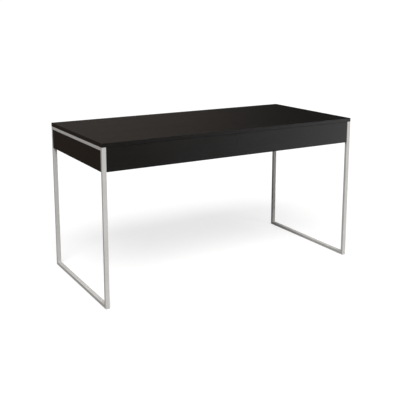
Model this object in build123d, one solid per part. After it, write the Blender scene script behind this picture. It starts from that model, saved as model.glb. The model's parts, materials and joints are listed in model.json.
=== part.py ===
from build123d import *
import os

os.makedirs("parts", exist_ok=True)

# Writing desk: a board top on two closed steel end frames, with two shallow drawers under it.
# Millimetres. X runs along the desk, -Y is the side where one sits, Z is up and z = 0 is the floor.
# What is on both halves is drawn on the left and mirrored. The top, the back panel, the front rail
# and the divider are drawn whole.

# The whole desk
LENGTH = 1400.0
DEPTH = 650.0
HEIGHT = 750.0
APRON = 127.0  # from the desk's top down to the lower edge of the fronts and panels

# Boards
TOP_BOARD = 18.0
BOARD = 15.0  # panels, front rail, divider, battens and drawer fronts
DRAWER_BOARD = 12.0  # sides and backs of the drawers
HARDBOARD = 3.0  # drawer bottoms
BAND = 1.0  # edge banding
EDGE_RADIUS = 0.4  # along the banding and the panels' outer edges
PANEL_GAP = 0.5  # between a fixed panel and the steel beside it
FRONT_GAP = 0.6  # round each drawer front, and between the two

# Rectangular steel tube, and steel plate
TUBE_WIDTH = 20.0  # along the desk
TUBE_DEPTH = 15.0  # within the plane of its frame
TUBE_WALL = 1.2
TUBE_RADIUS = 1.5
PLATE = 2.0

# Floor glides
GLIDE_PROUD = 2.0
GLIDE_RADIUS = 8.0
GLIDE_STEM_RADIUS = 4.0
GLIDE_STEM = 8.0
GLIDE_INSET = 45.0  # from the front or back of the desk

# Drawers
DRAWER_LIP = 15.0  # how far a front hangs below its drawer, for the fingers
DRAWER_HEIGHT = 65.0
DRAWER_DEPTH = 450.0
GROOVE = 6.0  # how far a drawer bottom goes into the boards round it
GROOVE_SLACK = 0.2
SHEET_SLACK = 0.5  # between a drawer bottom's edge and the end of its groove
BOTTOM_RAISE = 6.0  # from a drawer's lower edge to its bottom

# Ball-bearing drawer slides, measured inwards from the face that they are screwed to
SLIDE_LENGTH = 400.0
SLIDE_WIDTH = 12.7
SLIDE_SHEET = 1.2
SLIDE_HEIGHT = 45.0
SLIDE_START = 6.0  # behind the drawer front's rear face
OUTER_DEPTH = 9.0
MIDDLE_INSET = 3.0
MIDDLE_DEPTH = 8.0
MIDDLE_HEIGHT = 35.2
INNER_DEPTH = 6.5
INNER_HEIGHT = 25.4
CAGE_SHEET = 0.8
CAGE_LENGTH = 194.0
CAGE_START = 102.0  # behind the front end of the slide
OUTER_CAGE = (1.7, 6.8, 39.7, 6.2)  # web, depth, height, and place of its balls
INNER_CAGE = (4.7, 6.1, 29.9, 8.6)
BALL_RADIUS = 1.55
BALL_HOLE_RADIUS = 1.7
BALLS_IN_ROW = 7

# Fasteners: shank radius, head radius, head height and shank length
WOOD_SCREW = (1.9, 3.8, 2.2, 11.0)
SLIDE_SCREW = (1.6, 3.0, 1.0, 8.0)
BATTEN_SCREW = (1.9, 3.8, 2.2, 24.0)
CORNER_SCREW = (1.9, 3.6, 2.2, 38.0)
DIVIDER_SCREW = (3.3, 4.8, 2.5, 50.0)
FRONT_RAIL_SCREW = (1.9, 3.8, 2.2, 25.0)
PILOT_SLACK = 0.1
PILOT_DEPTH = 11.5  # into a panel or the top
PLATE_SLACK = 0.4  # round a screw that goes through steel plate
CAM_RADIUS = 7.5
CAM_DEPTH = 9.5
CAM_RECESS = 2.0
CAM_BOLT_RADIUS = 3.0
CAM_BOLT_HOLD = 11.0  # how far a cam's bolt goes into the drawer front

# Places worked out from the sizes above
X_OUT = LENGTH / 2
Y_OUT = DEPTH / 2
TOP_UNDER = HEIGHT - TOP_BOARD
APRON_LOW = HEIGHT - APRON
LEG_X = X_OUT - TUBE_WIDTH  # inner face of a leg, towards the knee space
LEG_Y = Y_OUT - TUBE_DEPTH  # inner face of a leg, along the end frame
TUBE_X = -X_OUT + TUBE_WIDTH / 2  # middle of the left frame's tubes
RAIL_UNDER = TOP_UNDER - TUBE_DEPTH
FRAME_LOW = GLIDE_PROUD
FRONT_BACK = -Y_OUT + BOARD  # rear face of the drawer fronts
FIXED_FRONT = FRONT_BACK + 2.0  # front end of the front rail and the divider
BACK_FACE = Y_OUT - BOARD  # front face of the back panel
DRAWER_LOW = APRON_LOW + DRAWER_LIP
DRAWER_TOP = DRAWER_LOW + DRAWER_HEIGHT
SLIDE_Z = DRAWER_LOW + DRAWER_HEIGHT / 2
SLIDE_FRONT = FRONT_BACK + SLIDE_START
PANEL_INSIDE = -X_OUT + BOARD
BATTEN_INSIDE = PANEL_INSIDE + BOARD
DIVIDER_LEFT = -BOARD / 2
FRONT_RAIL_DEPTH = 60.0

# Steel plates and brackets
TOP_TAB_YS = (-200.0, 0.0, 200.0)
TOP_TAB_WIDTH = 30.0
TAB_REACH = 25.0
TAB_SCREW_X = -LEG_X + 15.0
BACK_TAB_ZS = (APRON_LOW + 35.0, APRON_LOW + 80.0)
BACK_TAB_HEIGHT = 20.0
PANEL_TAB_HEIGHT = 12.0
PANEL_TAB_LENGTH = 22.0
PANEL_TAB_Z = APRON_LOW + 8.0
PANEL_TAB_SCREW_Y = LEG_Y - 14.0
BRACKET_XS = (-450.0, -150.0)
BRACKET_WIDTH = 18.0
BRACKET_ARM = 25.0
BRACKET_SCREW = 15.0  # from a bracket's corner to its screw

# Places of the screws on the left half
FRONT_RAIL_SCREW_XS = (-520.0, -200.0)
BATTEN_SCREW_YS = (-240.0, -80.0, 80.0, 240.0)
BATTEN_SCREW_Z = DRAWER_TOP + 3.0
DIVIDER_SCREW_ZS = (APRON_LOW + 30.0, APRON_LOW + 85.0)
SLIDE_SCREW_YS = (SLIDE_FRONT + 25.0, SLIDE_FRONT + SLIDE_LENGTH - 30.0)
TOP_TAB_SCREWS = [(TAB_SCREW_X, y, TOP_UNDER - PLATE) for y in TOP_TAB_YS]
BACK_TAB_SCREWS = [(TAB_SCREW_X, BACK_FACE, z) for z in BACK_TAB_ZS]
PANEL_TAB_SCREWS = [(PANEL_INSIDE + PLATE, s * PANEL_TAB_SCREW_Y, PANEL_TAB_Z) for s in (-1, 1)]
BRACKET_TOP_SCREWS = [(x, BACK_FACE - BRACKET_SCREW, TOP_UNDER - PLATE) for x in BRACKET_XS]
BRACKET_BACK_SCREWS = [(x, BACK_FACE - PLATE, TOP_UNDER - BRACKET_SCREW) for x in BRACKET_XS]
FRONT_RAIL_SCREWS = [
    (x, FIXED_FRONT + FRONT_RAIL_DEPTH / 2, TOP_UNDER - BOARD) for x in FRONT_RAIL_SCREW_XS
]
BATTEN_SCREWS = [(BATTEN_INSIDE, y, BATTEN_SCREW_Z) for y in BATTEN_SCREW_YS]
DIVIDER_SCREWS = [(0.0, Y_OUT, z) for z in DIVIDER_SCREW_ZS]

# The left drawer
DRAWER_LEFT = BATTEN_INSIDE + SLIDE_WIDTH
DRAWER_RIGHT = DIVIDER_LEFT - SLIDE_WIDTH
DRAWER_REAR = FRONT_BACK + DRAWER_DEPTH
SIDES = ((DRAWER_LEFT, 1), (DRAWER_RIGHT, -1))  # a side's outer face, and the way from it into the drawer
BOTTOM_LOW = DRAWER_LOW + BOTTOM_RAISE
GROOVE_SPAN = (BOTTOM_LOW, BOTTOM_LOW + HARDBOARD + GROOVE_SLACK)
FRONT_X = (-LEG_X + FRONT_GAP, -FRONT_GAP / 2)
FRONT_Z = (APRON_LOW, TOP_UNDER - FRONT_GAP)
CAM_Y = FRONT_BACK + 24.0
CAM_ZS = (DRAWER_LOW + 20.0, DRAWER_TOP - 13.0)
CORNER_SCREW_Y = DRAWER_REAR - DRAWER_BOARD / 2
CORNER_SCREW_ZS = (DRAWER_LOW + 20.0, DRAWER_TOP - 15.0)


def block(x, y, z):
    """A box between two places along each of X, Y and Z."""
    spans = [sorted(span) for span in (x, y, z)]
    size = [high - low for low, high in spans]
    middle = [(high + low) / 2 for low, high in spans]
    return Pos(*middle) * Box(*size)


def aimed(shape, place, direction):
    """A shape drawn along +Z from the origin, taken to a place and turned along a direction."""
    return Plane(origin=place, z_dir=direction) * shape


def rod(radius, length):
    """A cylinder that starts at the origin and runs along +Z."""
    return Cylinder(radius, length, align=(Align.CENTER, Align.CENTER, Align.MIN))


def bored(board, places, direction, radius, length):
    """A board with a straight hole drilled at each place."""
    for place in places:
        board -= aimed(rod(radius, length), place, direction)
    return board


def cross_recess(radius, depth):
    """The cutter for a cross recess whose mouth is at the origin, going down +Z."""
    bar = Box(1.3 * radius, 0.3 * radius, depth, align=(Align.CENTER, Align.CENTER, Align.MIN))
    return bar + Rot(0, 0, 90) * bar


def pan_screw(place, direction, kind):
    """A screw with a domed head that stands on a face."""
    shank, head, head_height, length = kind
    dome = Pos(0, 0, -head_height) * rod(head, head_height)
    dome = fillet(dome.edges().sort_by(Axis.Z)[0], 0.6 * head_height)
    dome -= Pos(0, 0, -head_height) * cross_recess(head, 0.6 * head_height)
    return aimed(dome + rod(shank, length), place, direction)


def sunk_shape(kind, slack):
    """A countersunk head and its shank below a face, made larger by a slack to cut its hole."""
    shank, head, head_height, length = kind
    cone = Cone(head + slack, shank + slack, head_height, align=(Align.CENTER, Align.CENTER, Align.MIN))
    return cone + rod(shank + slack, length + slack)


def sunk_screw(place, direction, kind):
    """A countersunk screw, flush with the face that it goes into."""
    recess = cross_recess(kind[1], 0.6 * kind[2])
    return aimed(sunk_shape(kind, 0.0) - recess, place, direction)


def countersunk(board, places, direction, kind):
    """A board with a countersunk hole at each place."""
    for place in places:
        board -= aimed(sunk_shape(kind, PILOT_SLACK), place, direction)
    return board


def eased(board, axis, sign, along=None):
    """A board with the edges of the face at one end of an axis rounded, or only those along a direction."""
    edges = board.faces().sort_by(axis)[-1 if sign > 0 else 0].edges()
    return fillet(edges if along is None else edges.filter_by(along), EDGE_RADIUS)


def mirrored(shape):
    """The same shape on the right-hand half of the desk."""
    return mirror(shape, about=Plane.YZ)


def both_halves(places):
    """Places on the left half, and the same places on the right."""
    return [(sign * x, y, z) for x, y, z in places for sign in (1, -1)]


def write(name, *shapes):
    """Writes one sub-part, which may be several separate solids."""
    solids = [solid for shape in shapes for solid in shape.solids()]
    export_step(solids[0] if len(solids) == 1 else Compound(solids), f"parts/{name}.step")


def write_both(name, shapes):
    """Writes shapes of the left half and their mirror images as one sub-part."""
    write(name, *shapes, *[mirrored(shape) for shape in shapes])


def write_pair(name, *shapes):
    """Writes a sub-part of the left half, and its mirror image as a sub-part of the right half."""
    write("left_" + name, *shapes)
    write("right_" + name, *[mirrored(shape) for shape in shapes])


# Desk top

def desktop():
    """The top board without its edge banding, with pilot holes in its underside."""
    x, y = X_OUT - BAND, Y_OUT - BAND
    board = block((-x, x), (-y, y), (TOP_UNDER, HEIGHT))
    screws = both_halves(TOP_TAB_SCREWS + BRACKET_TOP_SCREWS + FRONT_RAIL_SCREWS)
    places = [(x, y, TOP_UNDER) for x, y, z in screws]
    return bored(board, places, (0, 0, 1), WOOD_SCREW[0] + PILOT_SLACK, PILOT_DEPTH)


def desktop_bands():
    """The four strips of edge banding round the top."""
    z = (TOP_UNDER, HEIGHT)
    inside = (-Y_OUT + BAND, Y_OUT - BAND)
    strips = []
    for s in (-1, 1):
        long = block((-X_OUT, X_OUT), (s * Y_OUT, s * (Y_OUT - BAND)), z)
        short = block((s * X_OUT, s * (X_OUT - BAND)), inside, z)
        strips += [eased(long, Axis.Y, s), eased(short, Axis.X, s, Axis.Y)]
    return strips


# Steel end frame

def tube_section():
    """The wall of the rectangular tube, cut across."""
    inside = (TUBE_WIDTH - 2 * TUBE_WALL, TUBE_DEPTH - 2 * TUBE_WALL)
    outside = RectangleRounded(TUBE_WIDTH, TUBE_DEPTH, TUBE_RADIUS)
    return outside - RectangleRounded(*inside, TUBE_RADIUS - TUBE_WALL)


def end_frame():
    """The bottom rail, rear leg, top rail and front leg of one frame, mitred at its corners."""
    outer = [(-Y_OUT, FRAME_LOW), (Y_OUT, FRAME_LOW), (Y_OUT, TOP_UNDER), (-Y_OUT, TOP_UNDER)]
    low, high = FRAME_LOW + TUBE_DEPTH, RAIL_UNDER
    inner = [(-LEG_Y, low), (LEG_Y, low), (LEG_Y, high), (-LEG_Y, high)]
    centres = [Vector(TUBE_X, (a[0] + b[0]) / 2, (a[1] + b[1]) / 2) for a, b in zip(outer, inner)]
    tubes = []
    for k in range(4):
        after = (k + 1) % 4
        run = centres[after] - centres[k]
        along = run.normalized()
        plane = Plane(origin=centres[k] - along * TUBE_DEPTH, x_dir=(1, 0, 0), z_dir=along)
        straight = extrude(plane * tube_section(), run.length + 2 * TUBE_DEPTH)
        outline = Polyline(outer[k], outer[after], inner[after], inner[k], close=True)
        wedge = extrude(Plane.YZ.offset(-X_OUT) * make_face(outline), TUBE_WIDTH)
        tubes.append(straight & wedge)
    bottom_rail, rear_leg, top_rail, front_leg = tubes
    places = [(TUBE_X, y, FRAME_LOW - TUBE_WALL) for y in glide_ys()]
    bottom_rail = bored(bottom_rail, places, (0, 0, 1), GLIDE_STEM_RADIUS + PILOT_SLACK, 3 * TUBE_WALL)
    return bottom_rail, rear_leg, top_rail, front_leg


def glide_ys():
    """Where the glides are along a bottom rail."""
    return -Y_OUT + GLIDE_INSET, Y_OUT - GLIDE_INSET


def glides():
    """Two nylon glides pressed into the underside of a bottom rail."""
    stem = Pos(0, 0, GLIDE_PROUD) * rod(GLIDE_STEM_RADIUS, GLIDE_STEM)
    disc = rod(GLIDE_RADIUS, GLIDE_PROUD)
    disc = fillet(disc.edges().sort_by(Axis.Z)[0], 0.4 * GLIDE_PROUD)
    return [Pos(TUBE_X, y, 0) * (disc + stem) for y in glide_ys()]


def frame_tabs():
    """The plates welded to a frame, which the top and the panels are screwed to."""
    tabs = []
    hole = WOOD_SCREW[0] + PLATE_SLACK
    reach = (-LEG_X, -LEG_X + TAB_REACH)
    for x, y, z in TOP_TAB_SCREWS:
        plate = block(reach, (y - TOP_TAB_WIDTH / 2, y + TOP_TAB_WIDTH / 2), (z, z + PLATE))
        tabs.append(bored(plate, [(x, y, z)], (0, 0, 1), hole, PLATE))
    for x, y, z in BACK_TAB_SCREWS:
        plate = block(reach, (y, y + PLATE), (z - BACK_TAB_HEIGHT / 2, z + BACK_TAB_HEIGHT / 2))
        tabs.append(bored(plate, [(x, y, z)], (0, 1, 0), hole, PLATE))
    for x, y, z in PANEL_TAB_SCREWS:
        s = 1 if y > 0 else -1
        height = (z - PANEL_TAB_HEIGHT / 2, z + PANEL_TAB_HEIGHT / 2)
        plate = block((x - PLATE, x), (s * LEG_Y, s * (LEG_Y - PANEL_TAB_LENGTH)), height)
        tabs.append(bored(plate, [(x, y, z)], (-1, 0, 0), hole, PLATE))
    return tabs


# Fixed boards

def side_panel():
    """The board that fills the top of a frame, flush with the frame's outer face."""
    y = LEG_Y - PANEL_GAP
    panel = block((-X_OUT, PANEL_INSIDE), (-y, y), (APRON_LOW, RAIL_UNDER - PANEL_GAP))
    panel = eased(panel, Axis.X, -1)
    places = [(PANEL_INSIDE, y, z) for x, y, z in PANEL_TAB_SCREWS + BATTEN_SCREWS]
    return bored(panel, places, (-1, 0, 0), WOOD_SCREW[0] + PILOT_SLACK, PILOT_DEPTH)


def runner_batten():
    """The board that packs a drawer slide out past the legs."""
    y = LEG_Y - PANEL_GAP
    batten = block((PANEL_INSIDE, BATTEN_INSIDE), (-y, y), (DRAWER_LOW, RAIL_UNDER - PANEL_GAP))
    batten = countersunk(batten, BATTEN_SCREWS, (-1, 0, 0), BATTEN_SCREW)
    places = [(BATTEN_INSIDE, y, SLIDE_Z) for y in SLIDE_SCREW_YS]
    return bored(batten, places, (-1, 0, 0), SLIDE_SCREW[0] + PILOT_SLACK, SLIDE_SCREW[3])


def back_panel():
    """The board between the rear legs, flush with their rear faces, rebated for the frames' tabs."""
    x = LEG_X - PANEL_GAP
    panel = eased(block((-x, x), (BACK_FACE, Y_OUT), (APRON_LOW, TOP_UNDER)), Axis.Y, 1)
    reach = LEG_X - TAB_REACH - PANEL_GAP
    half_height = BACK_TAB_HEIGHT / 2 + PANEL_GAP
    for z in BACK_TAB_ZS:
        for s in (-1, 1):
            height = (z - half_height, z + half_height)
            panel -= block((s * LEG_X, s * reach), (BACK_FACE, BACK_FACE + PLATE), height)
    screws = both_halves(BACK_TAB_SCREWS + BRACKET_BACK_SCREWS)
    places = [(x, BACK_FACE, z) for x, y, z in screws]
    panel = bored(panel, places, (0, 1, 0), WOOD_SCREW[0] + PILOT_SLACK, PILOT_DEPTH)
    return countersunk(panel, DIVIDER_SCREWS, (0, -1, 0), DIVIDER_SCREW)


def front_rail():
    """The flat board behind the drawer fronts that stiffens the top."""
    y = (FIXED_FRONT, FIXED_FRONT + FRONT_RAIL_DEPTH)
    rail = block((-LEG_X, LEG_X), y, (TOP_UNDER - BOARD, TOP_UNDER))
    return countersunk(rail, both_halves(FRONT_RAIL_SCREWS), (0, 0, 1), FRONT_RAIL_SCREW)


def centre_divider():
    """The upright board between the drawers, notched under the front rail."""
    x = (DIVIDER_LEFT, -DIVIDER_LEFT)
    divider = block(x, (FIXED_FRONT, BACK_FACE), (DRAWER_LOW, TOP_UNDER))
    divider -= block(x, (FIXED_FRONT, FIXED_FRONT + FRONT_RAIL_DEPTH), (TOP_UNDER - BOARD, TOP_UNDER))
    places = [(DIVIDER_LEFT, y, SLIDE_Z) for y in SLIDE_SCREW_YS]
    divider = bored(divider, places, (1, 0, 0), SLIDE_SCREW[0] + PILOT_SLACK, BOARD)
    places = [(x, BACK_FACE, z) for x, y, z in DIVIDER_SCREWS]
    length = DIVIDER_SCREW[3] - BOARD + 1.0
    return bored(divider, places, (0, -1, 0), DIVIDER_SCREW[0] + PILOT_SLACK, length)


def brackets():
    """Steel angles between the top and the back panel."""
    angles = []
    hole = WOOD_SCREW[0] + PLATE_SLACK
    for top, back in zip(BRACKET_TOP_SCREWS, BRACKET_BACK_SCREWS):
        across = (top[0] - BRACKET_WIDTH / 2, top[0] + BRACKET_WIDTH / 2)
        arm = block(across, (BACK_FACE - BRACKET_ARM, BACK_FACE), (TOP_UNDER - PLATE, TOP_UNDER))
        arm += block(across, (BACK_FACE - PLATE, BACK_FACE), (TOP_UNDER - BRACKET_ARM, TOP_UNDER))
        arm = bored(arm, [top], (0, 0, 1), hole, PLATE)
        angles.append(bored(arm, [back], (0, 1, 0), hole, PLATE))
    return angles


# Drawer slides. Each function draws a slide on a face at x = 0 that looks along +X.

def section_run(section, front, length):
    """A section drawn as (X, Z), run back along +Y from its front end."""
    return Pos(0, front + length, 0) * Rot(90, 0, 0) * extrude(section, length)


def channel(start, depth, height, sheet):
    """The section of a channel with its web at the start and its two arms running on from it."""
    outside = Pos(start + depth / 2, 0) * Rectangle(abs(depth), height)
    step = sheet if depth > 0 else -sheet
    section = outside - Pos(start + depth / 2 + step, 0) * Rectangle(abs(depth), height - 2 * sheet)
    corners = section.vertices().filter_by_position(Axis.X, start - 0.01, start + 0.01)
    section = fillet(corners, 1.5 * sheet)
    inside = start + step
    corners = section.vertices().filter_by_position(Axis.X, inside - 0.01, inside + 0.01)
    corners = [c for c in corners if abs(abs(c.Y) - height / 2 + sheet) < 0.01]
    return fillet(corners, 0.5 * sheet)


def outer_member():
    """The slide member that is screwed to the desk."""
    member = section_run(channel(0.0, OUTER_DEPTH, SLIDE_HEIGHT, SLIDE_SHEET), SLIDE_FRONT, SLIDE_LENGTH)
    places = [(SLIDE_SHEET, y, 0) for y in SLIDE_SCREW_YS]
    return countersunk(member, places, (-1, 0, 0), SLIDE_SCREW)


def middle_member():
    """The slide member between the fixed one and the one on the drawer."""
    section = channel(MIDDLE_INSET, MIDDLE_DEPTH, MIDDLE_HEIGHT, SLIDE_SHEET)
    return section_run(section, SLIDE_FRONT, SLIDE_LENGTH)


def inner_member():
    """The slide member that is screwed to the drawer's side."""
    section = channel(SLIDE_WIDTH, -INNER_DEPTH, INNER_HEIGHT, SLIDE_SHEET)
    member = section_run(section, SLIDE_FRONT, SLIDE_LENGTH)
    places = [(SLIDE_WIDTH - SLIDE_SHEET, y, 0) for y in SLIDE_SCREW_YS]
    return countersunk(member, places, (1, 0, 0), SLIDE_SCREW)


def ball_cage(start, depth, height, ball_x):
    """A cage between two slide members, and its two rows of balls."""
    front = SLIDE_FRONT + CAGE_START
    cage = section_run(channel(start, depth, height, CAGE_SHEET), front, CAGE_LENGTH)
    level = (height - CAGE_SHEET) / 2
    pitch = CAGE_LENGTH / BALLS_IN_ROW
    balls = []
    for k in range(BALLS_IN_ROW):
        y = front + (k + 0.5) * pitch
        cage = bored(cage, [(ball_x, y, -height)], (0, 0, 1), BALL_HOLE_RADIUS, 2 * height)
        balls += [Pos(ball_x, y, side * level) * Sphere(BALL_RADIUS) for side in (-1, 1)]
    return [cage] + balls


def fixed_slide_screws():
    """The screws that hold a fixed member."""
    return [sunk_screw((SLIDE_SHEET, y, 0), (-1, 0, 0), SLIDE_SCREW) for y in SLIDE_SCREW_YS]


def drawer_slide_screws():
    """The screws that hold a member to the drawer's side."""
    inside = SLIDE_WIDTH - SLIDE_SHEET
    return [sunk_screw((inside, y, 0), (1, 0, 0), SLIDE_SCREW) for y in SLIDE_SCREW_YS]


def outboard(shape):
    """A slide part moved to the batten beside the legs."""
    return Pos(BATTEN_INSIDE, 0, SLIDE_Z) * shape


def inboard(shape):
    """A slide part turned round and moved to the centre divider."""
    return Pos(DIVIDER_LEFT, 0, SLIDE_Z) * mirrored(shape)


def both_slides(shapes):
    """Slide parts at both of a drawer's slides."""
    return [place(shape) for place in (outboard, inboard) for shape in shapes]


# The left drawer

def bottom_span():
    """The space that the drawer bottom and its grooves take up."""
    x = (DRAWER_LEFT + DRAWER_BOARD - GROOVE, DRAWER_RIGHT - DRAWER_BOARD + GROOVE)
    y = (FRONT_BACK - GROOVE, DRAWER_REAR - DRAWER_BOARD + GROOVE)
    return x, y


def cam_bolt_places(y):
    """The middle of each side board's thickness, at the height of its cams."""
    return [(face + way * DRAWER_BOARD / 2, y, z) for face, way in SIDES for z in CAM_ZS]


def drawer_front():
    """The front board without its banding, with its groove and bolt holes."""
    x = (FRONT_X[0] + BAND, FRONT_X[1] - BAND)
    board = block(x, (-Y_OUT, FRONT_BACK), (FRONT_Z[0] + BAND, FRONT_Z[1] - BAND))
    board -= block(*bottom_span(), GROOVE_SPAN)
    places = cam_bolt_places(FRONT_BACK)
    return bored(board, places, (0, -1, 0), CAM_BOLT_RADIUS + PILOT_SLACK, CAM_BOLT_HOLD)


def drawer_front_bands():
    """The four strips of edge banding round the front."""
    y = (-Y_OUT, FRONT_BACK)
    inside = (FRONT_Z[0] + BAND, FRONT_Z[1] - BAND)
    strips = []
    for end, s in ((0, -1), (1, 1)):
        long = block(FRONT_X, y, (FRONT_Z[end], FRONT_Z[end] - s * BAND))
        short = block((FRONT_X[end], FRONT_X[end] - s * BAND), y, inside)
        strips += [eased(long, Axis.Z, s), eased(short, Axis.X, s, Axis.Z)]
    return strips


def drawer_side(face, way):
    """One side board, with its groove, cam pockets and screw holes."""
    inside = face + way * DRAWER_BOARD
    board = block((face, inside), (FRONT_BACK, DRAWER_REAR), (DRAWER_LOW, DRAWER_TOP))
    board -= block(*bottom_span(), GROOVE_SPAN)
    pockets = [(inside, CAM_Y, z) for z in CAM_ZS]
    board = bored(board, pockets, (-way, 0, 0), CAM_RADIUS + PILOT_SLACK, CAM_DEPTH + PILOT_SLACK)
    bolts = [(face + way * DRAWER_BOARD / 2, FRONT_BACK, z) for z in CAM_ZS]
    board = bored(board, bolts, (0, 1, 0), CAM_BOLT_RADIUS + PILOT_SLACK, CAM_Y - FRONT_BACK)
    slide_holes = [(face, y, SLIDE_Z) for y in SLIDE_SCREW_YS]
    board = bored(board, slide_holes, (way, 0, 0), SLIDE_SCREW[0] + PILOT_SLACK, SLIDE_SCREW[3])
    corners = [(face, CORNER_SCREW_Y, z) for z in CORNER_SCREW_ZS]
    return countersunk(board, corners, (way, 0, 0), CORNER_SCREW)


def drawer_back():
    """The back board, between the sides."""
    x = (DRAWER_LEFT + DRAWER_BOARD, DRAWER_RIGHT - DRAWER_BOARD)
    board = block(x, (DRAWER_REAR - DRAWER_BOARD, DRAWER_REAR), (DRAWER_LOW, DRAWER_TOP))
    board -= block(*bottom_span(), GROOVE_SPAN)
    for face, way in SIDES:
        places = [(face, CORNER_SCREW_Y, z) for z in CORNER_SCREW_ZS]
        board = countersunk(board, places, (way, 0, 0), CORNER_SCREW)
    return board


def drawer_bottom():
    """The hardboard sheet in the grooves."""
    (left, right), (front, rear) = bottom_span()
    x = (left + SHEET_SLACK, right - SHEET_SLACK)
    y = (front + SHEET_SLACK, rear - SHEET_SLACK)
    return block(x, y, (BOTTOM_LOW, BOTTOM_LOW + HARDBOARD))


def drawer_cams():
    """The cams that draw the front onto the sides, each with a cross recess."""
    cams = []
    for face, way in SIDES:
        for z in CAM_ZS:
            cam = rod(CAM_RADIUS, CAM_DEPTH) - cross_recess(0.6 * CAM_RADIUS, CAM_RECESS)
            cams.append(aimed(cam, (face + way * DRAWER_BOARD, CAM_Y, z), (-way, 0, 0)))
    return cams


def drawer_cam_bolts():
    """The bolts that run from the front to the cams."""
    start = FRONT_BACK - CAM_BOLT_HOLD
    length = CAM_Y - CAM_RADIUS - PILOT_SLACK - start
    return [aimed(rod(CAM_BOLT_RADIUS, length), place, (0, 1, 0)) for place in cam_bolt_places(start)]


def drawer_corner_screws():
    """The screws through the sides into the back."""
    screws = []
    for face, way in SIDES:
        for z in CORNER_SCREW_ZS:
            screws.append(sunk_screw((face, CORNER_SCREW_Y, z), (way, 0, 0), CORNER_SCREW))
    return screws


# Writing the sub-parts

write("desktop", desktop())
write("desktop_edge_bands", *desktop_bands())
for name, tube in zip(("bottom_rail", "rear_leg", "top_rail", "front_leg"), end_frame()):
    write_pair(name, tube)
write_both("floor_glides", glides())
write_both("frame_tabs", frame_tabs())
write_pair("side_panel", side_panel())
write_pair("runner_batten", runner_batten())
write("back_panel", back_panel())
write("front_rail", front_rail())
write("centre_divider", centre_divider())
write_both("top_brackets", brackets())

plate_screws = [pan_screw(place, (0, 0, 1), WOOD_SCREW) for place in TOP_TAB_SCREWS + BRACKET_TOP_SCREWS]
plate_screws += [pan_screw(place, (0, 1, 0), WOOD_SCREW) for place in BACK_TAB_SCREWS + BRACKET_BACK_SCREWS]
plate_screws += [pan_screw(place, (-1, 0, 0), WOOD_SCREW) for place in PANEL_TAB_SCREWS]
write_both("plate_screws", plate_screws)
board_screws = [sunk_screw(place, (0, 0, 1), FRONT_RAIL_SCREW) for place in FRONT_RAIL_SCREWS]
board_screws += [sunk_screw(place, (-1, 0, 0), BATTEN_SCREW) for place in BATTEN_SCREWS]
write_both("board_screws", board_screws)
write("divider_screws", *[sunk_screw(place, (0, -1, 0), DIVIDER_SCREW) for place in DIVIDER_SCREWS])

for where, place in (("outboard", outboard), ("inboard", inboard)):
    write_pair(f"drawer_{where}_outer_member", place(outer_member()))
    write_pair(f"drawer_{where}_middle_member", place(middle_member()))
    write_pair(f"drawer_{where}_inner_member", place(inner_member()))
write_pair("drawer_outer_ball_cages", *both_slides(ball_cage(*OUTER_CAGE)))
write_pair("drawer_inner_ball_cages", *both_slides(ball_cage(*INNER_CAGE)))
write_both("slide_screws", both_slides(fixed_slide_screws()))
write_pair("drawer_slide_screws", *both_slides(drawer_slide_screws()))

write_pair("drawer_front", drawer_front())
write_pair("drawer_front_bands", *drawer_front_bands())
write_pair("drawer_outboard_side", drawer_side(*SIDES[0]))
write_pair("drawer_inboard_side", drawer_side(*SIDES[1]))
write_pair("drawer_back", drawer_back())
write_pair("drawer_bottom", drawer_bottom())
write_pair("drawer_cams", *drawer_cams())
write_pair("drawer_cam_bolts", *drawer_cam_bolts())
write_pair("drawer_corner_screws", *drawer_corner_screws())
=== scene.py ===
import json
import math

import bmesh
import bpy
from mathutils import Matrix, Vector, noise


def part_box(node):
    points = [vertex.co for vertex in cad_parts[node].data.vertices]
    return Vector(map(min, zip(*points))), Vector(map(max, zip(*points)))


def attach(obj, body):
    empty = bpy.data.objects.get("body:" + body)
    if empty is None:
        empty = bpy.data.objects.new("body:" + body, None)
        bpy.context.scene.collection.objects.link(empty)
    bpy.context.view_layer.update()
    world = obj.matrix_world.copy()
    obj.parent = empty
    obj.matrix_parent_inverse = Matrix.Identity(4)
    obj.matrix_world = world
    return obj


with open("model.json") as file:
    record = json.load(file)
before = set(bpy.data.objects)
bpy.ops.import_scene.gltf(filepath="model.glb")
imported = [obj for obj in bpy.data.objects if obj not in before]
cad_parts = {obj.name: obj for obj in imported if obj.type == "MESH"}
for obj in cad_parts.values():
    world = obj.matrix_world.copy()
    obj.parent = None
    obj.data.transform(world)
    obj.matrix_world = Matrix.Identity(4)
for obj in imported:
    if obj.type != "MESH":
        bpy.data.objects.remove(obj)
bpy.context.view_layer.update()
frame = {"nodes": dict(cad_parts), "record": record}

MM = 0.001

# Places on the desk, from the frame
TOP_LOW, TOP_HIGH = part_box("desktop_edge_bands")
LEG_LOW, LEG_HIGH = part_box("left_front_leg")
TUBE_WIDTH = LEG_HIGH.x - LEG_LOW.x
TUBE_DEPTH = LEG_HIGH.y - LEG_LOW.y
HALF_DEPTH = TOP_HIGH.y
FRAME_BOTTOM = LEG_LOW.z
FRAME_TOP = LEG_HIGH.z

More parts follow.
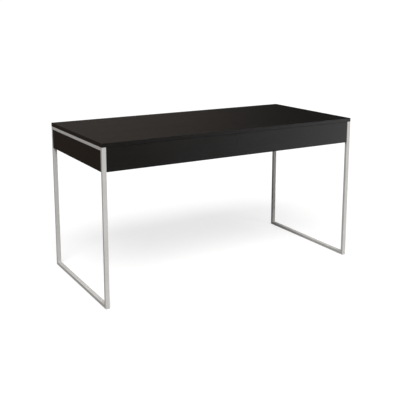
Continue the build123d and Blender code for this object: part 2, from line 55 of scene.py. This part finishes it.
# Colours, darkest and lightest where there are two
LAMINATE = ((0.0052, 0.0047, 0.0043), (0.0088, 0.0080, 0.0073))
BANDING = ((0.0058, 0.0053, 0.0049), (0.0080, 0.0073, 0.0067))
CARCASS_BLACK = ((0.012, 0.0112, 0.0105), (0.017, 0.0158, 0.0148))
DRAWER_BOARD = ((0.0125, 0.0118, 0.0112), (0.0180, 0.0168, 0.0158))
RAW_CHIPS = ((0.20, 0.130, 0.070), (0.50, 0.385, 0.240))
BURNT_CHIPS = (0.075, 0.045, 0.024)
HARDBOARD = ((0.098, 0.050, 0.024), (0.200, 0.112, 0.056))
POWDER_COAT = ((0.490, 0.484, 0.474), (0.550, 0.544, 0.533))
POWDER_SPECKS = (0.62, 0.62, 0.608)
WELD_LINE = (0.30, 0.29, 0.28)
DIE_CAST = ((0.36, 0.36, 0.37), (0.60, 0.60, 0.61))
NYLON = ((0.020, 0.020, 0.021), (0.055, 0.055, 0.056))

# Sizes on the surfaces
SCREEN_PITCH = 1.6 * MM  # of the press's pattern under hardboard
SEAM_WIDTHS = (0.15 * MM, 0.55 * MM)  # where a weld line starts to fade, and where it ends
GROUND_WIDTHS = (1.0 * MM, 6.0 * MM)  # the same, for the grinding beside it
SEAM_WANDER = 0.8 * MM


# Materials

class Paint:
    """A principled material and the nodes that give its surface detail."""

    def __init__(self, name, sockets):
        self.material = bpy.data.materials.new(name)
        self.material.use_nodes = True
        self.tree = self.material.node_tree
        self.shader = self.tree.nodes["Principled BSDF"]
        for key, value in sockets.items():
            self.shader.inputs[key].default_value = value
        self.place = self.node("ShaderNodeTexCoord").outputs["Object"]
        self.normal = None

    def node(self, kind, **settings):
        """A new node with its settings."""
        made = self.tree.nodes.new(kind)
        for key, value in settings.items():
            setattr(made, key, value)
        return made

    def feed(self, socket, value):
        """A socket linked to another, or set to a number."""
        if isinstance(value, bpy.types.NodeSocket):
            self.tree.links.new(value, socket)
        else:
            socket.default_value = value

    def scaled(self, x, y, z):
        """The place on the object, with each axis scaled."""
        mapping = self.node("ShaderNodeMapping")
        mapping.inputs["Scale"].default_value = (x, y, z)
        self.feed(mapping.inputs["Vector"], self.place)
        return mapping.outputs["Vector"]

    def noise(self, scale, detail=3.0, roughness=0.5, at=None):
        """Soft noise, with about this many features to the metre."""
        made = self.node("ShaderNodeTexNoise")
        made.inputs["Scale"].default_value = scale
        made.inputs["Detail"].default_value = detail
        made.inputs["Roughness"].default_value = roughness
        self.feed(made.inputs["Vector"], at or self.place)
        return made.outputs["Fac"]

    def cells(self, scale, at=None):
        """The random grey of each cell of a cell pattern."""
        made = self.node("ShaderNodeTexVoronoi")
        made.inputs["Scale"].default_value = scale
        self.feed(made.inputs["Vector"], at or self.place)
        grey = self.node("ShaderNodeRGBToBW")
        self.feed(grey.inputs["Color"], made.outputs["Color"])
        return grey.outputs["Val"]

    def axes(self, vector=None):
        """The three parts of a vector, by default the place on the object."""
        made = self.node("ShaderNodeSeparateXYZ")
        self.feed(made.inputs["Vector"], vector or self.place)
        return made.outputs

    def facing(self, axis):
        """How far the surface faces along an axis, either way, from 0 to 1."""
        geometry = self.node("ShaderNodeNewGeometry")
        return self.math("ABSOLUTE", self.axes(geometry.outputs["Normal"])[axis])

    def math(self, operation, first, second=0.0):
        """The result of an operation on one or two values."""
        made = self.node("ShaderNodeMath", operation=operation)
        self.feed(made.inputs[0], first)
        self.feed(made.inputs[1], second)
        return made.outputs[0]

    def add(self, first, second):
        """The sum of two values."""
        return self.math("ADD", first, second)

    def minus(self, first, second):
        """The difference of two values."""
        return self.math("SUBTRACT", first, second)

    def times(self, first, second):
        """The product of two values."""
        return self.math("MULTIPLY", first, second)

    def remap(self, value, low, high, from_low=0.0, from_high=1.0):
        """A value carried from one range to another, and held inside it."""
        made = self.node("ShaderNodeMapRange")
        self.feed(made.inputs["Value"], value)
        ends = {"From Min": from_low, "From Max": from_high, "To Min": low, "To Max": high}
        for key, number in ends.items():
            made.inputs[key].default_value = number
        return made.outputs["Result"]

    def mix(self, share, first, second):
        """A colour between two colours."""
        made = self.node("ShaderNodeMix", data_type="RGBA")
        self.feed(made.inputs[0], share)
        for socket, value in ((made.inputs[6], first), (made.inputs[7], second)):
            self.feed(socket, value if isinstance(value, bpy.types.NodeSocket) else (*value, 1.0))
        return made.outputs[2]

    def colour(self, value):
        """The surface's colour."""
        self.feed(self.shader.inputs["Base Color"], value)

    def gloss(self, value):
        """The surface's roughness."""
        self.feed(self.shader.inputs["Roughness"], value)

    def bump(self, height, depth, strength=1.0):
        """Relief of a given depth in metres, on top of any relief there already."""
        made = self.node("ShaderNodeBump")
        made.inputs["Strength"].default_value = strength
        made.inputs["Distance"].default_value = depth
        self.feed(made.inputs["Height"], height)
        if self.normal:
            self.feed(made.inputs["Normal"], self.normal)
        self.normal = made.outputs["Normal"]
        self.feed(self.shader.inputs["Normal"], self.normal)


def grained(paint, axis, along, across):
    """The place on the object, stretched along the grain, which runs along one axis."""
    scales = [across] * 3
    scales[axis] = along
    return paint.scaled(*scales)


def laminate(name, axis, shades=LAMINATE):
    """Satin black-brown melamine, pressed with a faint open-pored grain along one axis."""
    dark, light = shades
    paint = Paint(name, {"Specular IOR Level": 0.42})
    clouds = paint.noise(2.2, 4.0)
    streaks = paint.noise(1.0, 6.0, 0.7, grained(paint, axis, 2.2, 110.0))
    figure = paint.remap(streaks, 0.0, 1.0, 0.35, 0.65)
    dashes = paint.noise(1.0, 2.0, 0.5, grained(paint, axis, 26.0, 1300.0))
    open_dashes = paint.remap(dashes, 0.0, 1.0, 0.54, 0.64)
    pores = paint.times(open_dashes, paint.remap(streaks, 1.0, 0.25, 0.4, 0.6))
    base = paint.mix(paint.times(paint.add(clouds, figure), 0.5), dark, light)
    in_pores = [0.35 * part for part in dark]
    paint.colour(paint.mix(paint.times(pores, 0.6), base, in_pores))
    satin = paint.remap(paint.add(clouds, paint.times(figure, 0.5)), 0.32, 0.43, 0.4, 1.1)
    paint.gloss(paint.add(satin, paint.times(pores, 0.16)))
    paint.bump(paint.minus(figure, pores), 0.08 * MM, 0.7)
    paint.bump(paint.noise(1500.0, 2.0), 0.03 * MM, 0.5)
    return paint.material


def edge_band():
    """The banding's plastic, with faint extrusion lines along the edge."""
    paint = Paint("edge_band", {"Specular IOR Level": 0.42})
    lines = paint.noise(1.0, 2.0, 0.5, paint.scaled(90.0, 90.0, 2600.0))
    clouds = paint.noise(40.0, 3.0)
    paint.colour(paint.mix(clouds, *BANDING))
    paint.gloss(paint.remap(clouds, 0.35, 0.41, 0.3, 0.7))
    paint.bump(lines, 0.012 * MM, 0.5)
    return paint.material


def chipboard(paint, axis):
    """The colour and relief of a raw cut edge, with its chips lying along one axis."""
    flakes = paint.cells(1.0, grained(paint, axis, 330.0, 1000.0))
    dust = paint.cells(1.0, grained(paint, axis, 1100.0, 1900.0))
    shade = paint.times(paint.add(flakes, dust), 0.5)
    tan = paint.mix(paint.remap(shade, 0.0, 1.0, 0.2, 0.8), *RAW_CHIPS)
    burnt = paint.remap(flakes, 1.0, 0.0, 0.10, 0.24)
    return paint.mix(paint.times(burnt, 0.8), tan, BURNT_CHIPS), shade


def carcass_board(name, thin_axis, long_axis):
    """A black faced board whose cut edges are left raw."""
    paint = Paint(name, {"Specular IOR Level": 0.35})
    face = paint.remap(paint.facing(thin_axis), 0.0, 1.0, 0.60, 0.62)
    raw, relief = chipboard(paint, long_axis)
    clouds = paint.noise(5.0, 4.0)
    black = paint.mix(clouds, *CARCASS_BLACK)
    paint.colour(paint.mix(face, raw, black))
    paint.gloss(paint.remap(face, 0.85, 0.5))
    paint.bump(paint.times(relief, paint.minus(1.0, face)), 0.5 * MM, 0.7)
    paint.bump(paint.noise(1800.0, 2.0), 0.02 * MM, 0.5)
    return paint.material


def hardboard():
    """Pressed hardboard: a smooth brown face above, and the press's screen pattern below."""
    paint = Paint("hardboard", {"Specular IOR Level": 0.35})
    fibres = paint.noise(1.0, 6.0, 0.75, paint.scaled(380.0, 640.0, 640.0))
    clouds = paint.noise(5.0, 5.0, 0.6)
    shade = paint.add(paint.times(fibres, 0.8), paint.times(clouds, 0.2))
    shade = paint.remap(shade, 0.0, 1.0, 0.30, 0.70)
    paint.colour(paint.mix(shade, *HARDBOARD))
    paint.gloss(paint.remap(fibres, 0.42, 0.62))
    place = paint.axes()
    rate = 2.0 * math.pi / SCREEN_PITCH
    waves = [paint.math("SINE", paint.times(place[k], rate)) for k in (0, 1)]
    screen = paint.times(waves[0], waves[1])
    geometry = paint.node("ShaderNodeNewGeometry")
    below = paint.math("LESS_THAN", paint.axes(geometry.outputs["Normal"])[2], -0.5)
    paint.bump(paint.times(screen, below), 0.15 * MM, 0.8)
    paint.bump(fibres, 0.05 * MM, 0.4)
    return paint.material


def powder_coat(name, seams):
    """Satin light grey powder coat on steel, with a ground weld line at each mitre if asked."""
    paint = Paint(name, {"Specular IOR Level": 0.5})
    clouds = paint.noise(6.0, 3.0)
    peel = paint.noise(800.0, 2.0, 0.4)
    grain = paint.noise(2200.0, 2.0)
    base = paint.mix(paint.remap(clouds, 0.0, 1.0, 0.3, 0.7), *POWDER_COAT)
    base = paint.mix(paint.remap(grain, 0.0, 0.5, 0.50, 0.72), base, POWDER_SPECKS)
    if seams:
        place = paint.axes()
        inset = paint.minus(HALF_DEPTH, paint.math("ABSOLUTE", place[1]))
        low = paint.minus(place[2], FRAME_BOTTOM)
        high = paint.minus(FRAME_TOP, place[2])
        offset = paint.minus(inset, paint.math("MINIMUM", low, high))
        wander = paint.times(paint.minus(paint.noise(260.0, 2.0), 0.5), SEAM_WANDER)
        away = paint.math("ABSOLUTE", paint.add(offset, wander))
        line = paint.remap(away, 1.0, 0.0, *SEAM_WIDTHS)
        ground = paint.remap(away, 1.0, 0.0, *GROUND_WIDTHS)
        base = paint.mix(paint.times(line, 0.35), base, WELD_LINE)
        paint.bump(paint.times(line, -1.0), 0.12 * MM, 0.8)
        paint.bump(paint.times(ground, paint.noise(420.0, 3.0)), 0.10 * MM, 0.6)
    paint.colour(base)
    paint.gloss(paint.remap(peel, 0.34, 0.52, 0.3, 0.7))
    paint.bump(peel, 0.15 * MM, 0.9)
    return paint.material


def plated_steel(name, cold, warm, roughness, axis=1):
    """Zinc-plated steel under a thin matt bloom, with rolling lines along one axis."""
    paint = Paint(name, {"Metallic": 0.55})
    lines = paint.noise(1.0, 4.0, 0.6, grained(paint, axis, 12.0, 1400.0))
    clouds = paint.noise(38.0, 4.0, 0.6)
    paint.colour(paint.mix(paint.remap(clouds, 0.0, 1.0, 0.3, 0.7), cold, warm))
    paint.gloss(paint.remap(lines, *roughness, 0.3, 0.7))
    paint.bump(lines, 0.02 * MM, 0.5)
    return paint.material


def die_cast():
    """The grainy grey of a die-cast cam."""
    paint = Paint("die_cast", {"Metallic": 0.6})
    grain = paint.noise(1500.0, 4.0, 0.6)
    paint.colour(paint.mix(grain, *DIE_CAST))
    paint.gloss(paint.remap(grain, 0.38, 0.60, 0.3, 0.7))
    paint.bump(grain, 0.08 * MM, 0.6)
    return paint.material


def moulded_nylon():
    """Black moulded plastic, scuffed where it slides over the floor."""
    paint = Paint("moulded_nylon", {"Specular IOR Level": 0.4})
    scuffs = paint.noise(1.0, 5.0, 0.7, paint.scaled(90.0, 900.0, 900.0))
    paint.colour(paint.mix(paint.remap(scuffs, 0.0, 1.0, 0.5, 0.8), *NYLON))
    paint.gloss(paint.remap(scuffs, 0.38, 0.62))
    paint.bump(paint.noise(1400.0, 2.0), 0.05 * MM, 0.5)
    return paint.material


X, Y, Z = 0, 1, 2
board_black = laminate("laminate_along_x", X)
side_black = laminate("laminate_along_y", Y)
drawer_black = laminate("drawer_board", Y, DRAWER_BOARD)
frame_grey = powder_coat("powder_coat", True)
finishes = {
    "black_laminate": board_black,
    "black_edge_band": edge_band(),
    "powder_coat": frame_grey,
    "powder_coat_tabs": powder_coat("powder_coat_plain", False),
    "nylon": moulded_nylon(),
    "carcass_board": carcass_board("carcass_upright", X, Y),
    "drawer_board": drawer_black,
    "hardboard": hardboard(),
    "slide_steel": plated_steel(
        "slide_steel", (0.58, 0.61, 0.66), (0.66, 0.65, 0.60), (0.24, 0.40)),
    "cage_steel": plated_steel(
        "cage_steel", (0.62, 0.63, 0.65), (0.70, 0.69, 0.66), (0.18, 0.32)),
    "bracket_steel": plated_steel(
        "bracket_steel", (0.52, 0.55, 0.60), (0.62, 0.60, 0.54), (0.30, 0.46), X),
    "cam_zinc": die_cast(),
    "screw_steel": plated_steel(
        "screw_steel", (0.54, 0.56, 0.60), (0.64, 0.62, 0.56), (0.22, 0.38), Z),
}
finish_of_node = {
    "left_side_panel": side_black,
    "right_side_panel": side_black,
    "front_rail": carcass_board("carcass_flat", Z, X),
    "left_drawer_back": laminate("drawer_board_across", X, DRAWER_BOARD),
}
finish_of_node["right_drawer_back"] = finish_of_node["left_drawer_back"]

for part in frame["record"]["subparts"]:
    node = frame["nodes"][part["node"]]
    finish = finish_of_node.get(part["node"], finishes[part["material_slot"]])
    node.data.materials.clear()
    node.data.materials.append(finish)


# Weld beads in the lower inside corners of the end frames

BEAD_RADIUS = 1.7 * MM
BEAD_RIPPLE = 0.25 * MM
BEAD_WANDER = 0.2 * MM
BEAD_RIPPLES = 9
BEAD_STATIONS = 72
BEAD_SIDES = 16
BEAD_TIP = 0.05  # the share of its radius left at its ends
BEAD_INSET = 2.5 * MM  # from each side of the tube to the bead's end
BEAD_OFFSET = 0.5 * MM  # how far the bead's middle stands off the corner


def weld_bead(name, start, end, seed):
    """A rippled bead along a line, as a closed tube with rounded ends."""
    start, end = Vector(start), Vector(end)
    along = (end - start).normalized()
    side = along.orthogonal().normalized()
    other = along.cross(side)
    mesh = bmesh.new()
    rings = []
    for k in range(BEAD_STATIONS + 1):
        share = k / BEAD_STATIONS
        centre = start.lerp(end, share)
        ripple = BEAD_RIPPLE * abs(math.sin(math.pi * BEAD_RIPPLES * share))
        wander = BEAD_WANDER * noise.noise(Vector((40.0 * share, seed, 0.0)))
        taper = math.sqrt(max(0.0, 1.0 - (2.0 * share - 1.0) ** 20))
        radius = (BEAD_RADIUS + ripple + wander) * max(taper, BEAD_TIP)
        ring = []
        for j in range(BEAD_SIDES):
            turn = 2.0 * math.pi * j / BEAD_SIDES
            out = math.cos(turn) * side + math.sin(turn) * other
            ring.append(mesh.verts.new(centre + radius * out))
        rings.append(ring)
    for first, second in zip(rings, rings[1:]):
        for j in range(BEAD_SIDES):
            after = (j + 1) % BEAD_SIDES
            mesh.faces.new((first[j], first[after], second[after], second[j]))
    mesh.faces.new(list(reversed(rings[0])))
    mesh.faces.new(rings[-1])
    bmesh.ops.recalc_face_normals(mesh, faces=mesh.faces)
    for face in mesh.faces:
        face.smooth = True
    data = bpy.data.meshes.new(name)
    mesh.to_mesh(data)
    mesh.free()
    bead = bpy.data.objects.new(name, data)
    bpy.context.scene.collection.objects.link(bead)
    data.materials.append(finishes["powder_coat_tabs"])
    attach(bead, "desk")


inside_y = HALF_DEPTH - TUBE_DEPTH
inside_z = FRAME_BOTTOM + TUBE_DEPTH
for side_name, sign in (("left", -1), ("right", 1)):
    outer_x = sign * (TOP_HIGH.x - BEAD_INSET)
    inner_x = sign * (TOP_HIGH.x - TUBE_WIDTH + BEAD_INSET)
    for end_name, way in (("front", -1), ("rear", 1)):
        y, z = way * (inside_y - BEAD_OFFSET), inside_z + BEAD_OFFSET
        start, end = (outer_x, y, z), (inner_x, y, z)
        weld_bead(f"{side_name}_{end_name}_weld", start, end, 7.0 * way + sign)


# Floor, lights and camera

FLOOR_SIZE = 120.0
FLOOR_GREY, FLOOR_GLOW = 0.29, 0.75  # of the floor that is seen
BOUNCE_GREY = 0.38  # of the floor that throws light back
BOUNCE_DROP = 1.0 * MM
BACKDROP_WHITE = 1.05  # a little over white, so that denoising leaves no grey in it
SUN_SPREAD = math.radians(30.0)

# Soft bright areas of the room: turn and rise of the middle, reach to the edge, and colour
SOFT_AREAS = (
    (111.0, -15.0, 29.0, (4.0, 4.05, 4.1)),
    (-19.0, -12.0, 28.0, (0.120, 0.088, 0.068)),
    (17.0, 14.0, 22.0, (0.155, 0.130, 0.113)),
    (0.0, 75.0, 45.0, (0.95, 0.95, 0.95)),
    (245.0, 5.0, 50.0, (0.66, 0.54, 0.46)),
    (-70.0, 25.0, 48.0, (0.20, 0.185, 0.175)),
    (145.0, 40.0, 38.0, (0.19, 0.175, 0.165)),
)


def floor_plane(name, height, grey, glow):
    """A wide, plain, pale plane that no reflection shows."""
    bpy.ops.mesh.primitive_plane_add(size=FLOOR_SIZE, location=(0.0, 0.0, height))
    plane = bpy.context.object
    plane.name = name
    paint = Paint(name, {
        "Roughness": 0.9,
        "Specular IOR Level": 0.0,
        "Emission Color": (1.0, 1.0, 1.0, 1.0),
        "Emission Strength": glow,
    })
    paint.colour(paint.mix(paint.noise(0.7, 2.0), [grey - 0.005] * 3, [grey + 0.005] * 3))
    paint.material.cycles.emission_sampling = "NONE"
    plane.data.materials.append(paint.material)
    plane.visible_glossy = False
    return plane


def plain_floor():
    """A pale floor, lit from inside as a light table is, so that shadows on it stay faint.

    The glow is only seen. What the floor throws back on to the desk comes from a plain plane
    just under it.
    """
    seen = floor_plane("floor", 0.0, FLOOR_GREY, FLOOR_GLOW)
    seen.visible_diffuse = False
    seen.visible_shadow = False
    bounce = floor_plane("floor_bounce", -BOUNCE_DROP, BOUNCE_GREY, 0.0)
    bounce.visible_camera = False


def towards(turn, rise):
    """The direction turned from +Y towards +X, and raised above the horizon, in degrees."""
    turn, rise = math.radians(turn), math.radians(rise)
    return Vector((
        math.sin(turn) * math.cos(rise),
        math.cos(turn) * math.cos(rise),
        math.sin(rise),
    ))


def soft_sun(name, turn, rise, strength, colour=(1.0, 1.0, 1.0)):
    """A broad, even light from one direction, which no reflection shows."""
    data = bpy.data.lights.new(name, "SUN")
    data.angle = SUN_SPREAD
    data.energy = strength
    data.color = colour
    light = bpy.data.objects.new(name, data)
    light.rotation_euler = towards(turn, rise).to_track_quat("Z", "Y").to_euler()
    light.visible_glossy = False
    bpy.context.scene.collection.objects.link(light)


def studio_world():
    """A white backdrop for the camera, and for reflections a dark room with soft bright areas.

    Diffuse light gets nothing from it, and comes from the suns and the floor alone.
    """
    world = bpy.data.worlds.new("studio")
    bpy.context.scene.world = world
    world.use_nodes = True
    nodes, links = world.node_tree.nodes, world.node_tree.links
    direction = nodes.new("ShaderNodeTexCoord").outputs["Generated"]
    room = None
    for turn, rise, reach, colour in SOFT_AREAS:
        dot = nodes.new("ShaderNodeVectorMath")
        dot.operation = "DOT_PRODUCT"
        links.new(direction, dot.inputs[0])
        dot.inputs[1].default_value = towards(turn, rise)
        edge = nodes.new("ShaderNodeMapRange")
        edge.interpolation_type = "SMOOTHSTEP"
        edge.inputs["From Min"].default_value = math.cos(math.radians(reach))
        links.new(dot.outputs["Value"], edge.inputs["Value"])
        area = nodes.new("ShaderNodeVectorMath")
        area.operation = "SCALE"
        area.inputs[0].default_value = colour
        links.new(edge.outputs["Result"], area.inputs["Scale"])
        if room:
            total = nodes.new("ShaderNodeVectorMath")
            links.new(room, total.inputs[0])
            links.new(area.outputs["Vector"], total.inputs[1])
            room = total.outputs["Vector"]
        else:
            room = area.outputs["Vector"]
    rays = nodes.new("ShaderNodeLightPath")
    unseen = nodes.new("ShaderNodeMix")
    unseen.data_type = "RGBA"
    unseen.inputs[6].default_value = (0.0, 0.0, 0.0, 1.0)
    links.new(rays.outputs["Is Glossy Ray"], unseen.inputs[0])
    links.new(room, unseen.inputs[7])
    seen = nodes.new("ShaderNodeMix")
    seen.data_type = "RGBA"
    seen.inputs[7].default_value = (*[BACKDROP_WHITE] * 3, 1.0)
    links.new(rays.outputs["Is Camera Ray"], seen.inputs[0])
    links.new(unseen.outputs[2], seen.inputs[6])
    links.new(seen.outputs[2], nodes["Background"].inputs["Color"])


plain_floor()
studio_world()
soft_sun("key", 213.0, 47.0, 3.05, (1.0, 0.985, 0.97))
soft_sun("front_fill", 172.0, 52.0, 1.2)
soft_sun("rear_fill", 25.0, 11.0, 1.4)
soft_sun("right_fill", 95.0, 9.0, 1.1)

# The photograph's view, with some of its lens shift turned into tilt
CAMERA_PLACE = (-1.809, -3.019, 1.307)
CAMERA_TURN = 30.45
CAMERA_TILT = 10.62
CAMERA_LENS = 62.48
CAMERA_SHIFT = (0.0043, -0.15)
camera_data = bpy.data.cameras.new("camera")
camera_data.lens = CAMERA_LENS
camera_data.sensor_width = 36.0
camera_data.shift_x, camera_data.shift_y = CAMERA_SHIFT
camera = bpy.data.objects.new("camera", camera_data)
camera.location = CAMERA_PLACE
ahead = towards(CAMERA_TURN, -CAMERA_TILT)
camera.rotation_euler = ahead.to_track_quat("-Z", "Y").to_euler()
bpy.context.scene.collection.objects.link(camera)
bpy.context.scene.camera = camera
bpy.context.scene.view_settings.view_transform = "Standard"
